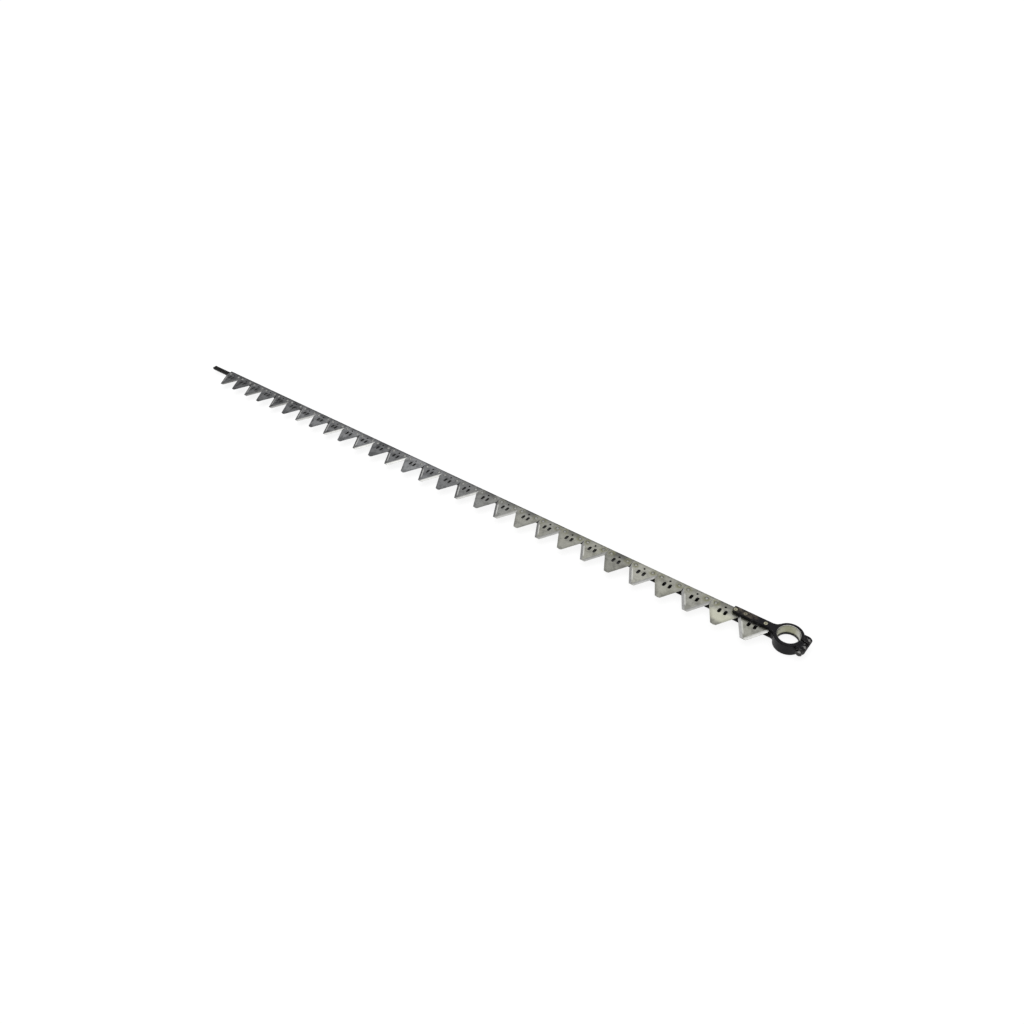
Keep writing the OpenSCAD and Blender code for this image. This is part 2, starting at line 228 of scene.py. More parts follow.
class Nodes:
    """Adds nodes to one node tree and links them."""

    def __init__(self, tree):
        self.tree = tree

    def put(self, value, socket):
        """Links a socket, or sets a plain value."""
        if isinstance(value, bpy.types.NodeSocket):
            self.tree.links.new(value, socket)
        elif socket.type == "RGBA" and len(value) == 3:
            socket.default_value = (*value, 1)
        else:
            socket.default_value = value

    def fill(self, sockets, values):
        """Puts values into sockets by name or number."""
        for name, value in values.items():
            self.put(value, sockets[name])

    def add(self, kind, inputs=None, **settings):
        """A new node with its settings and inputs."""
        node = self.tree.nodes.new(kind)
        for name, value in settings.items():
            setattr(node, name, value)
        self.fill(node.inputs, inputs or {})
        return node

    def calc(self, operation, *values, clamp=False):
        """Result of a Math node."""
        node = self.add("ShaderNodeMath", dict(enumerate(values)), operation=operation, use_clamp=clamp)
        return node.outputs[0]

    def multiply(self, first, *others):
        """Product of all the values."""
        for other in others:
            first = self.calc("MULTIPLY", first, other)
        return first

    def largest(self, first, *others):
        """Largest of all the values."""
        for other in others:
            first = self.calc("MAXIMUM", first, other)
        return first

    def opposite(self, value):
        """Takes 0 to 1 onto 1 to 0."""
        return self.calc("SUBTRACT", 1.0, value)

    def apart(self, first, second):
        """Distance between two values."""
        return self.calc("ABSOLUTE", self.calc("SUBTRACT", first, second))

    def diagonal(self, first, second):
        """Diagonal of a rectangle with these sides."""
        squares = [self.calc("POWER", side, 2.0) for side in (first, second)]
        return self.calc("SQRT", self.calc("ADD", *squares))

    def ramp(self, value, low, high):
        """Rises smoothly from 0 at low to 1 at high."""
        inputs = {"Value": value, "From Min": low, "From Max": high}
        return self.add("ShaderNodeMapRange", inputs, interpolation_type="SMOOTHSTEP").outputs["Result"]

    def band(self, value, low, high, blur):
        """1 between low and high, falling to 0 over blur on both sides."""
        return self.multiply(self.ramp(value, low - blur, low), self.ramp(value, high + blur, high))

    def scaled(self, value, low, high):
        """Takes 0 to 1 onto low to high."""
        inputs = {"Value": value, "To Min": low, "To Max": high}
        return self.add("ShaderNodeMapRange", inputs).outputs["Result"]

    def mix(self, factor, low, high, blend="MIX"):
        """Colour between low and high."""
        inputs = dict(zip(MIX_COLOURS_IN, (factor, low, high)))
        node = self.add("ShaderNodeMix", inputs, data_type="RGBA", blend_type=blend)
        return node.outputs[MIX_COLOUR_OUT]

    def mix_value(self, factor, low, high):
        """Value between low and high."""
        inputs = dict(zip(MIX_VALUES_IN, (factor, low, high)))
        return self.add("ShaderNodeMix", inputs, data_type="FLOAT").outputs[MIX_VALUE_OUT]

    def split(self, vector):
        """X, Y and Z of a vector."""
        parts = self.add("ShaderNodeSeparateXYZ", {"Vector": vector}).outputs
        return parts["X"], parts["Y"], parts["Z"]

    def place(self):
        """Place of a point in the object's own frame."""
        return self.add("ShaderNodeTexCoord").outputs["Object"]

    def normal(self):
        """Direction that the surface faces."""
        return self.add("ShaderNodeNewGeometry").outputs["Normal"]

    def group(self, tree, **inputs):
        """Places a node group, with its inputs named by words joined with low lines."""
        node = self.add("ShaderNodeGroup", node_tree=tree)
        for name, value in inputs.items():
            self.put(value, node.inputs[name.replace("_", " ").capitalize()])
        return node.outputs


def new_group(name, inputs, outputs):
    """A shader node group with float inputs, given as name and default, and named outputs."""
    tree = bpy.data.node_groups.new(name, "ShaderNodeTree")
    for socket_name, default in inputs.items():
        socket = tree.interface.new_socket(socket_name, in_out="INPUT", socket_type="NodeSocketFloat")
        socket.default_value = default
    for socket_name, kind in outputs.items():
        tree.interface.new_socket(socket_name, in_out="OUTPUT", socket_type=kind)
    nodes = Nodes(tree)
    given = nodes.add("NodeGroupInput").outputs
    result = nodes.add("NodeGroupOutput").inputs
    return nodes, given, result


def once(make):
    """Builds a node group at its first use and gives the same one after that."""
    made = []

    def give():
        if not made:
            made.append(make())
        return made[0]

    return give


# Node groups that several materials share

VALUE = "NodeSocketFloat"
NORMAL = "NodeSocketVector"
MIDDLE_BLUR = 0.001


@once
def knife_layout():
    """Where a point lies on its section and along the knife."""
    places = ["Along", "From middle", "Left half", "Across", "Bevel up", "Rivet distance"]
    chances = ["Tone", "Smudge"]
    nodes, given, result = new_group(
        "Knife layout",
        {
            "First section": 0.0, "Pitch": 1.0, "Sections": 1.0, "Rivet spacing": 0.0,
            "Tone seed": 0.0, "Smudge seed": 0.0,
        },
        dict.fromkeys(places + chances, VALUE),
    )
    x, y, _ = nodes.split(nodes.place())
    pitches = nodes.calc("DIVIDE", nodes.calc("SUBTRACT", x, given["First section"]), given["Pitch"])
    number = nodes.calc("ROUND", pitches)
    local = nodes.multiply(nodes.calc("SUBTRACT", pitches, number), given["Pitch"])
    from_middle = nodes.calc("ABSOLUTE", local)
    from_rivet = nodes.calc("SUBTRACT", from_middle, nodes.multiply(given["Rivet spacing"], 0.5))
    nodes.fill(result, {
        "Along": nodes.calc("DIVIDE", number, given["Sections"], clamp=True),
        "From middle": from_middle,
        "Left half": nodes.ramp(local, MIDDLE_BLUR, -MIDDLE_BLUR),
        "Across": y,
        "Bevel up": nodes.opposite(nodes.calc("FLOORED_MODULO", number, 2.0)),
        "Rivet distance": nodes.diagonal(from_rivet, y),
    })
    for name in chances:
        seed = nodes.calc("ADD", number, given[name + " seed"])
        chance = nodes.add("ShaderNodeTexWhiteNoise", {"W": seed}, noise_dimensions="1D")
        nodes.put(chance.outputs["Value"], result[name])
    return nodes.tree


@once
def fine_lines():
    """Fine lines along X, such as rolling or grinding marks."""
    nodes, given, result = new_group(
        "Fine lines", {"Length": 0.05, "Spacing": 0.001}, {"Lines": VALUE}
    )
    x, y, z = nodes.split(nodes.place())
    parts = {
        "X": nodes.calc("DIVIDE", x, given["Length"]),
        "Y": nodes.calc("DIVIDE", y, given["Spacing"]),
        "Z": nodes.calc("DIVIDE", z, given["Spacing"]),
    }
    vector = nodes.add("ShaderNodeCombineXYZ", parts).outputs[0]
    noise = nodes.add("ShaderNodeTexNoise", {"Vector": vector, "Scale": 1.0, "Detail": 3.0, "Roughness": 0.6})
    nodes.put(noise.outputs[0], result["Lines"])
    return nodes.tree


@once
def blotches():
    """Uneven patches that cover a share of the surface."""
    nodes, given, result = new_group(
        "Blotches", {"Size": 0.02, "Cover": 0.5, "Softness": 0.1, "Seed": 0.0}, {"Mask": VALUE}
    )
    inputs = {
        "Vector": nodes.place(),
        "W": given["Seed"],
        "Scale": nodes.calc("DIVIDE", 1.0, given["Size"]),
        "Detail": 5.0,
        "Roughness": 0.62,
    }
    noise = nodes.add("ShaderNodeTexNoise", inputs, noise_dimensions="4D").outputs[0]
    level = nodes.calc("SUBTRACT", 0.75, nodes.multiply(given["Cover"], 0.5))
    low = nodes.calc("SUBTRACT", level, given["Softness"])
    high = nodes.calc("ADD", level, given["Softness"])
    nodes.put(nodes.ramp(noise, low, high), result["Mask"])
    return nodes.tree


@once
def edge_wear():
    """Edges that stand out and are rubbed, and the normal of edges that are slightly round."""
    nodes, given, result = new_group(
        "Edge wear",
        {"Radius": 0.0008, "Gain": 4.0, "Patch size": 0.01, "Patch cover": 0.6},
        {"Mask": VALUE, "Round normal": NORMAL},
    )
    rounded = nodes.add("ShaderNodeBevel", {"Radius": given["Radius"]}, samples=6).outputs["Normal"]
    both = {0: rounded, 1: nodes.normal()}
    facing = nodes.add("ShaderNodeVectorMath", both, operation="DOT_PRODUCT").outputs["Value"]
    strong = nodes.calc("MULTIPLY", nodes.opposite(facing), given["Gain"], clamp=True)
    uneven = patches(nodes, size=given["Patch size"], cover=given["Patch cover"], softness=0.12)
    nodes.fill(result, {"Mask": nodes.multiply(strong, uneven), "Round normal": rounded})
    return nodes.tree


@once
def crevice_dirt_and_shade():
    """Dirt that gathers in corners and round fasteners, together with the painted shade there."""
    nodes, given, result = new_group(
        "Crevice dirt and shade", {"Reach": 0.004, "Strength": 1.0}, {"Mask": VALUE}
    )
    corner = nodes.add("ShaderNodeAmbientOcclusion", {"Distance": given["Reach"]}, samples=6).outputs["AO"]
    dirt = nodes.calc("MULTIPLY", nodes.opposite(corner), given["Strength"], clamp=True)
    nodes.put(dirt, result["Mask"])
    return nodes.tree


def laid_out(nodes, look):
    """The knife layout with this knife's own sizes."""
    return nodes.group(
        knife_layout(),
        first_section=FIRST_SECTION_X,
        pitch=SECTION_PITCH,
        sections=SECTION_COUNT - 1,
        rivet_spacing=look.rivet_spacing,
        tone_seed=look.tone_seed,
        smudge_seed=look.smudge_seed,
    )


def lined(nodes, stretch, spacing):
    """Fine lines of a length and a spacing."""
    return nodes.group(fine_lines(), length=stretch, spacing=spacing)["Lines"]


def patches(nodes, size, cover, softness, seed=0.0):
    """Mask of uneven patches."""
    return nodes.group(blotches(), size=size, cover=cover, softness=softness, seed=seed)["Mask"]


def corner_dirt_and_shade(nodes, reach, strength):
    """Mask of dirt and painted shade in corners."""
    return nodes.group(crevice_dirt_and_shade(), reach=reach, strength=strength)["Mask"]


def shaded(nodes, colour_in, tone):
    """A colour made lighter or darker by a value near 1."""
    grey = nodes.add("ShaderNodeCombineXYZ", dict.fromkeys("XYZ", tone)).outputs[0]
    return nodes.mix(1.0, colour_in, grey, "MULTIPLY")


def bump(nodes, height, distance, normal=None):
    """The normal of a surface with a small relief."""
    inputs = {"Height": height, "Distance": distance, "Strength": 1.0}
    if normal is not None:
        inputs["Normal"] = normal
    return nodes.add("ShaderNodeBump", inputs).outputs["Normal"]


def new_material(name):
    """A material, its nodes and the inputs of its shader."""
    material = bpy.data.materials.new(name)
    material.use_nodes = True
    shader = material.node_tree.nodes["Principled BSDF"]
    return material, Nodes(material.node_tree), shader.inputs


# Steel of the knife sections

# Along the knife, from 0 at the tail to 1 at the head: where each finish, painted highlight and painted shade
# starts and where it is full
OLIVE_ALONG = (0.5, 0.78)
SCALE_ALONG = (0.75, 0.15)
LAST_ONES_ALONG = (0.86, 0.98)
DIM_TAIL_ALONG = (0.24, 0.12)
REAR_LINE_ALONG = (0.82, 0.68)
# Painted highlight on the bevels that face the tail, near the head
LEFT_SHEEN_ALONG = (0.55, 0.75)
LEFT_DARK_EDGE_ALONG = (0.8, 0.6)
# Painted highlight and painted shade on the bevels that face the head
RIGHT_SHINE_FROM_TAIL = (0.10, 0.36)
RIGHT_SHINE_FROM_HEAD = (0.76, 0.42)
RIGHT_GLEAM_ALONG = (0.76, 0.86)
RIGHT_LAST_ONE_ALONG = (0.93, 1.0)
RIGHT_DIM_TAIL_ALONG = (0.2, 0.02)
FAINT_RIDGE_ALONG = (0.75, 1.0)
RIVET_OLIVE_ALONG = (0.68, 0.85)

# On a section, in metres: where each finish, painted highlight and painted shade starts and where it is full,
# or a band's ends and its blur
STAIN_FROM_RIVET = (0.014, 0.006)
CREAM_ACROSS = (-0.042, -0.024, 0.012)
OIL_ACROSS = (-0.010, 0.004)
OIL_FROM_MIDDLE = (0.026, 0.014)
REAR_LINE_FROM_HEEL = (-0.0065, -0.0020)
DARK_FROM_SLOTS = (-0.005, 0.006, 0.006)
DARK_FROM_MIDDLE = (0.03, 0.012)
TIP_DARK_START = -0.040
DARK_EDGE_WIDTH = (0.0038, 0.0018)
# Painted highlight: the bevels that face the head brighten towards the cutting edge
EDGE_SHINE = 0.001
# Painted highlight along the ridge of the left bevels
RIDGE_FROM_BEVEL = (0.0002, 0.0026, 0.0012)
RIDGE_FROM_TIP = (0.008, 0.018)
RIDGE_FROM_ROOT = 0.008
DULL_EDGE_WIDTH = (0.009, 0.001)
# Painted shade on the walls of the slots and holes
WALLS_FROM_SIDES = (0.003, 0.005)
WALLS_FRONT = -0.030
WALLS_FROM_HEEL = 0.002
WALLS_BLUR = 0.001

# Share of the normal that points up, and in the last line to the right
WALL_TILT = (0.4, 0.2)
BEVEL_TILT = (0.86, 0.97, 0.012)
TOP_TILT = (0.5, 0.8)
SIDE_TILT = (-0.05, 0.05)


def edge_distance(nodes, look, from_middle, across):
    """Distance from the cutting edge, measured square to it."""
    rise = TIP_REACH - look.root_reach
    run = SECTION_HALF_WIDTH - look.tip_width / 2
    slant = math.hypot(rise, run)
    sideways = nodes.calc("SUBTRACT", SECTION_HALF_WIDTH, from_middle)
    forwards = nodes.calc("ADD", across, look.root_reach)
    return nodes.calc("ADD", nodes.multiply(sideways, rise / slant), nodes.multiply(forwards, run / slant))


def section_spot(nodes, look):
    """Where a point lies on the knife, with the masks that several finishes share."""
    spot = dict(laid_out(nodes, look).items())
    along = spot["Along"]
    spot["Near head"] = nodes.ramp(along, *OLIVE_ALONG)
    spot["Near tail"] = nodes.ramp(along, *SCALE_ALONG)
    spot["Last ones"] = nodes.ramp(along, *LAST_ONES_ALONG)
    spot["Bevel under"] = nodes.opposite(spot["Bevel up"])
    spot["Near rivet"] = nodes.ramp(spot["Rivet distance"], *STAIN_FROM_RIVET)
    spot["From edge"] = edge_distance(nodes, look, spot["From middle"], spot["Across"])
    return spot


def rolled_steel(nodes, look, spot, lines, scale):
    """Flat steel, more olive towards the head, with a tone of its own for each section."""
    near_head = spot["Near head"]
    steel = nodes.mix(near_head, look.tail_steel, look.head_steel)
    pale = patches(nodes, size=0.045, cover=0.45, softness=0.16, seed=1.0)
    steel = nodes.mix(nodes.multiply(pale, near_head, 0.4), steel, look.pale_film)
    scaly = nodes.multiply(scale, nodes.scaled(spot["Near tail"], 0.24, 0.68))
    steel = nodes.mix(scaly, steel, look.dark_film_and_shade)
    grain = patches(nodes, size=0.005, cover=0.5, softness=0.3, seed=13.0)
    tone = nodes.calc("ADD", nodes.scaled(spot["Tone"], 0.74, 1.12), nodes.scaled(lines, -0.12, 0.12))
    tone = nodes.calc("ADD", tone, nodes.scaled(grain, -0.14, 0.14))
    dim_tail = nodes.scaled(nodes.ramp(spot["Along"], *DIM_TAIL_ALONG), 1.0, 0.78)
    return shaded(nodes, steel, nodes.multiply(tone, dim_tail))


def cream_highlight_mask(nodes, spot):
    """Painted cream highlight on the front of the sections with their bevel underneath, next to the head."""
    front = nodes.band(spot["Across"], *CREAM_ACROSS)
    return nodes.multiply(front, spot["Last ones"], spot["Bevel under"], 0.7)


def oil_mask(nodes, spot):
    """Oil between the rivets, mostly on the sections with their bevel underneath."""
    behind = nodes.ramp(spot["Across"], *OIL_ACROSS)
    between = nodes.ramp(spot["From middle"], *OIL_FROM_MIDDLE)
    chance = nodes.calc("SUBTRACT", spot["Smudge"], nodes.multiply(spot["Bevel up"], 0.25))
    oiled = nodes.multiply(nodes.ramp(chance, 0.40, 0.52), nodes.scaled(spot["Bevel under"], 0.3, 0.5))
    return nodes.multiply(behind, between, oiled)


def dark_marks_mask(nodes, look, spot):
    """A broken dark line along the rear edge, and darker steel round the slots and on the tips."""
    across = spot["Across"]
    from_heel = nodes.calc("SUBTRACT", across, HEEL_REACH)
    rear = nodes.ramp(from_heel, *REAR_LINE_FROM_HEEL)
    broken = patches(nodes, size=0.03, cover=0.65, softness=0.25, seed=12.0)
    rear_strength = nodes.scaled(nodes.ramp(spot["Along"], *REAR_LINE_ALONG), 0.3, 0.7)
    rear = nodes.multiply(rear, broken, rear_strength)
    slots = nodes.band(nodes.calc("ADD", across, look.slot_reach), *DARK_FROM_SLOTS)
    beside_slots = nodes.ramp(spot["From middle"], *DARK_FROM_MIDDLE)
    slots = nodes.multiply(slots, beside_slots, spot["Near tail"], 0.35)
    tail_tips = nodes.multiply(spot["Near tail"], 0.55)
    head_tips = nodes.multiply(spot["Last ones"], 0.40)
    toward_tip = nodes.ramp(across, TIP_DARK_START, -TIP_REACH)
    tip = nodes.multiply(toward_tip, nodes.largest(tail_tips, head_tips))
    return nodes.largest(rear, slots, tip)


def stain_mask(nodes, spot):
    """Stain round the rivets next to the knife head."""
    uneven = patches(nodes, size=0.012, cover=0.55, softness=0.15, seed=3.0)
    return nodes.multiply(spot["Near rivet"], uneven, spot["Near head"], 0.8)


def left_bevel(nodes, look, spot):
    """Ground steel that faces the tail, with a painted highlight near the head, painted shade towards the
    tail and a dark edge elsewhere.
    """
    along = spot["Along"]
    # Painted highlight near the head over ground steel in painted shade
    painted_sheen = nodes.multiply(nodes.ramp(along, *LEFT_SHEEN_ALONG), 0.6)
    steel = nodes.mix(painted_sheen, look.shaded_ground_steel, look.ground_steel)
    keen = nodes.ramp(spot["From edge"], *DARK_EDGE_WIDTH)
    dark_edge = nodes.multiply(keen, nodes.ramp(along, *LEFT_DARK_EDGE_ALONG), 0.6)
    return nodes.mix(dark_edge, steel, look.dark_film_and_shade)


def right_bevel(nodes, look, spot):
    """Ground steel that faces the head, with a painted highlight: brightest in the middle of the knife and on
    the last section, stronger towards the cutting edge and dimmed at the tail.
    """
    along = spot["Along"]
    # Painted highlight: brightest a third of the way along, by the head and on the last section
    off_tail = nodes.ramp(along, *RIGHT_SHINE_FROM_TAIL)
    off_head = nodes.ramp(along, *RIGHT_SHINE_FROM_HEAD)
    mid_knife = nodes.multiply(off_tail, off_head, 0.9)
    by_head = nodes.multiply(nodes.ramp(along, *RIGHT_GLEAM_ALONG), 0.25)
    last_one = nodes.ramp(along, *RIGHT_LAST_ONE_ALONG)
    shine = nodes.scaled(nodes.largest(mid_knife, by_head, last_one), 0.36, 0.86)
    # Painted shade at the tail, painted highlight towards the cutting edge
    dim_tail = nodes.scaled(nodes.ramp(along, *RIGHT_DIM_TAIL_ALONG), 1.0, 0.45)
    toward_edge = nodes.scaled(nodes.ramp(spot["From edge"], look.bevel_width, EDGE_SHINE), 0.75, 1.25)
    return shaded(nodes, look.ground_steel, nodes.multiply(shine, dim_tail, toward_edge))


def ground_bevels(nodes, look, spot, rightward):
    """Ground steel on both sides of a section, each side painted with its own light, with dull patches."""
    # Painted light: the bevels that face the head and the tail are differently lit copies of one steel
    on_right = nodes.ramp(rightward, *SIDE_TILT)
    steel = nodes.mix(on_right, left_bevel(nodes, look, spot), right_bevel(nodes, look, spot))
    dull = patches(nodes, size=0.01, cover=0.5, softness=0.25, seed=5.0)
    return nodes.mix(nodes.multiply(dull, 0.25), steel, look.dark_film_and_shade)


def ridge_highlight_mask(nodes, look, spot, upward):
    """Painted highlight along the ridge where the left bevel meets the flat on top."""
    across = spot["Across"]
    ridge = nodes.band(nodes.calc("SUBTRACT", spot["From edge"], look.bevel_width), *RIDGE_FROM_BEVEL)
    on_top = nodes.multiply(nodes.ramp(upward, *TOP_TILT), spot["Bevel up"])
    on_left = nodes.multiply(on_top, spot["Left half"])
    behind_tip = nodes.ramp(nodes.calc("ADD", across, TIP_REACH), *RIDGE_FROM_TIP)
    before_root = nodes.ramp(across, -look.root_reach, -look.root_reach - RIDGE_FROM_ROOT)
    strength = nodes.scaled(nodes.ramp(spot["Along"], *FAINT_RIDGE_ALONG), 0.5, 0.35)
    return nodes.multiply(ridge, on_left, behind_tip, before_root, strength)


def wall_shade_mask(nodes, spot, tilt):
    """Walls of the slots and holes, which take painted shade."""
    upright = nodes.ramp(tilt, *WALL_TILT)
    from_side = nodes.calc("SUBTRACT", SECTION_HALF_WIDTH, spot["From middle"])
    off_sides = nodes.ramp(from_side, *WALLS_FROM_SIDES)
    off_ends = nodes.band(spot["Across"], WALLS_FRONT, HEEL_REACH - WALLS_FROM_HEEL, WALLS_BLUR)
    return nodes.multiply(upright, off_sides, off_ends)


def section_steel(look):
    """Rolled steel with films, ground bevels, worn edges and dirt, with painted highlights on the bevels,
    their ridges and the front of the sections by the head, and painted shade in corners and on slot walls.
    """
    material, nodes, shader = new_material("Section steel")
    spot = section_spot(nodes, look)
    lines = lined(nodes, stretch=0.03, spacing=0.0007)
    scale = patches(nodes, size=0.018, cover=0.42, softness=0.09, seed=2.0)
    steel = rolled_steel(nodes, look, spot, lines, scale)
    # Painted cream highlight on the front of the sections by the head
    steel = nodes.mix(cream_highlight_mask(nodes, spot), steel, look.cream_sheen)
    steel = nodes.mix(oil_mask(nodes, spot), steel, look.dark_film_and_shade)
    steel = nodes.mix(dark_marks_mask(nodes, look, spot), steel, look.dark_film_and_shade)
    steel = nodes.mix(stain_mask(nodes, spot), steel, look.olive_stain)

    rightward, _, upward = nodes.split(nodes.normal())
    tilt = nodes.calc("ABSOLUTE", upward)
    ground = nodes.band(tilt, *BEVEL_TILT)
    steel = nodes.mix(ground, steel, ground_bevels(nodes, look, spot, rightward))
    # Painted highlight along the ridge of the left bevels
    painted_ridge_light = shaded(nodes, look.ground_steel, 1.25)
    steel = nodes.mix(ridge_highlight_mask(nodes, look, spot, upward), steel, painted_ridge_light)

    wear = nodes.group(edge_wear(), radius=0.0005, gain=3.0, patch_size=0.006, patch_cover=0.7)
    worn = nodes.multiply(wear["Mask"], nodes.scaled(spot["Bevel up"], 0.05, 0.3))
    steel = nodes.mix(worn, steel, look.ground_steel)
    by_edge = nodes.ramp(spot["From edge"], *DULL_EDGE_WIDTH)
    dull_edge = nodes.multiply(by_edge, spot["Bevel under"], 0.22)
    steel = nodes.mix(dull_edge, steel, look.dark_film_and_shade)
    # Dirt and painted shade in corners, olive by the rivets near the head
    dirt = nodes.multiply(corner_dirt_and_shade(nodes, reach=0.0035, strength=1.4), 0.85)
    olive = nodes.multiply(spot["Near rivet"], spot["Near head"], 0.8)
    steel = nodes.mix(dirt, steel, nodes.mix(olive, look.dark_film_and_shade, look.olive_stain))
    # Painted shade on the walls of the slots and holes
    steel = nodes.mix(wall_shade_mask(nodes, spot, tilt), steel, look.dark_film_and_shade)

    rough = nodes.calc("ADD", nodes.scaled(lines, 0.28, 0.4), nodes.multiply(scale, 0.12))
    nodes.fill(shader, {
        "Base Color": steel,
        "Metallic": 1.0,
        "Roughness": nodes.mix_value(ground, rough, 0.36),
        "Normal": bump(nodes, lines, 0.00004, wear["Round normal"]),
    })
    return material


# Other materials

BLACK_SPECULAR = 0.14

# In metres: where each finish, painted highlight and painted shade starts and where it is full, or a band's
# ends and its blur
# Dirt and painted shade at the foot of the section rivets
RIVET_FOOT = (0.0032, 0.0050)
# Painted highlights on the clamp ears
EAR_HIGHLIGHT_RADIUS = (0.0055, 0.0025)
RUBBED_FADE = 0.014
WORN_FROM_SEAT = (0.004, 0.010)
SEAT_FROM_RADIUS = (0.0006, 0.0003)
# Painted highlight on the rim of the seat
RIM_FROM_RADIUS = (0.0015, 0.0011)
SEAT_FROM_BOTTOM = (-0.0004, 0.0004)
# Painted highlight on the right side of the seat
SEAT_HIGHLIGHT_X = (-0.002, 0.018)
DIMPLE_RADIUS = (0.0022, 0.0010)
MIDDLE_RIVET_FROM_SECTION = (-0.033, -0.018, 0.002)
# Painted highlight streak on top of the bolt head
BOLT_HIGHLIGHT_X = (-0.001, 0.004, 0.002)
BOLT_HIGHLIGHT_Z = (0.003, 0.006)
BOLT_HIGHLIGHT_Y = (0.0045, 0.0025)

# Share of the normal that points up
EAR_TOP_TILT = (0.15, 0.5)
STRAP_TOP_TILT = (0.75, 0.97)


def rivet_steel(look):
    """Hammered rivet heads, darkened at the foot by dirt and painted shade."""
    material, nodes, shader = new_material("Rivet steel")
    spot = laid_out(nodes, look)
    near_head = nodes.ramp(spot["Along"], *RIVET_OLIVE_ALONG)
    dents = patches(nodes, size=0.004, cover=0.45, softness=0.15, seed=6.0)
    steel = nodes.mix(nodes.multiply(dents, near_head, 0.45), look.rivet_steel, look.olive_stain)
    # Dirt and painted shade at the foot of the rivets
    foot = nodes.ramp(spot["Rivet distance"], *RIVET_FOOT)
    foot = nodes.multiply(foot, nodes.scaled(near_head, 0.35, 0.8))
    grime_and_shade = nodes.largest(foot, corner_dirt_and_shade(nodes, reach=0.003, strength=1.2))
    dirt_and_shade_colour = nodes.mix(near_head, look.dark_film_and_shade, look.olive_stain)
    steel = nodes.mix(nodes.multiply(grime_and_shade, 0.8), steel, dirt_and_shade_colour)
    nodes.fill(shader, {
        "Base Color": steel,
        "Metallic": 1.0,
        "Roughness": nodes.scaled(dents, 0.45, 0.62),
        "Normal": bump(nodes, dents, 0.00012),
    })
    return material


def bar_black(look):
    """Dark rolling scale with a brown cast and rubbed edges."""
    material, nodes, shader = new_material("Bar black")
    lines = lined(nodes, stretch=0.08, spacing=0.0012)
    brown = patches(nodes, size=0.03, cover=0.5, softness=0.2, seed=7.0)
    black = nodes.mix(nodes.multiply(brown, 0.6), look.bar_black, look.bar_rust)
    wear = nodes.group(edge_wear(), radius=0.0007, gain=3.0, patch_size=0.012, patch_cover=0.5)
    black = nodes.mix(nodes.multiply(wear["Mask"], 0.25), black, look.bare_edge_and_highlight)
    rough = nodes.calc("ADD", nodes.scaled(brown, 0.5, 0.65), nodes.scaled(lines, -0.06, 0.06))
    nodes.fill(shader, {
        "Base Color": black,
        "Specular IOR Level": BLACK_SPECULAR,
        "Roughness": rough,
        "Normal": bump(nodes, lines, 0.00005, wear["Round normal"]),
    })
    return material


def ear_highlights(nodes, look, x, y, upward):
    """A painted highlight on top of each clamp ear."""
    sideways = nodes.apart(x, look.ear_highlight_x)
    from_slit = nodes.apart(nodes.calc("ABSOLUTE", y), look.ear_highlight_y)
    from_highlight = nodes.calc("ADD", sideways, from_slit)
    ear_top = nodes.ramp(upward, *EAR_TOP_TILT)
    return nodes.multiply(nodes.ramp(from_highlight, *EAR_HIGHLIGHT_RADIUS), ear_top, 0.75)


def worn_paint(nodes, look, brown, edges):
    """Black paint, rubbed brown on top of the strap and bare on edges, lightened near the clamp as painted
    highlights, with painted highlights on the clamp ears.
    """
    x, y, _ = nodes.split(nodes.place())
    upward = nodes.split(nodes.normal())[2]
    paint = nodes.mix(nodes.multiply(brown, 0.3), look.paint_black, look.bar_rust)

    rubbed_end = LAST_SECTION_X + look.rubbed_reach
    on_strap = nodes.ramp(x, rubbed_end, rubbed_end - RUBBED_FADE)
    on_top = nodes.ramp(upward, *STRAP_TOP_TILT)
    rubbed = patches(nodes, size=0.010, cover=0.36, softness=0.2, seed=4.0)
    paint = nodes.mix(nodes.multiply(on_top, rubbed, on_strap), paint, look.strap_brown)

    # Worn edges, lightened near the clamp as painted highlights
    by_clamp = nodes.ramp(nodes.calc("SUBTRACT", x, look.seat_radius), *WORN_FROM_SEAT)
    paint = nodes.mix(nodes.multiply(edges, nodes.scaled(by_clamp, 0.4, 1.0)), paint, look.bare_edge_and_highlight)
    chips = patches(nodes, size=0.006, cover=0.22, softness=0.06, seed=14.0)
    paint = nodes.mix(nodes.multiply(chips, by_clamp, 0.8), paint, look.bare_edge_and_highlight)
    # Painted highlights on top of the clamp ears
    return nodes.mix(ear_highlights(nodes, look, x, y, upward), paint, look.bare_edge_and_highlight)


def seat_masks(nodes, look):
    """The machined seat, inside the bore and above the shoulder, and its rim."""
    x, y, z = nodes.split(nodes.place())
    from_radius = nodes.calc("SUBTRACT", nodes.diagonal(x, y), look.seat_radius)
    inside = nodes.ramp(from_radius, *SEAT_FROM_RADIUS)
    rim_inside = nodes.ramp(from_radius, *RIM_FROM_RADIUS)
    above = nodes.ramp(nodes.calc("SUBTRACT", z, look.seat_bottom), *SEAT_FROM_BOTTOM)
    seat = nodes.multiply(inside, above)
    rim = nodes.multiply(nodes.calc("SUBTRACT", rim_inside, inside, clamp=True), above)
    return seat, rim


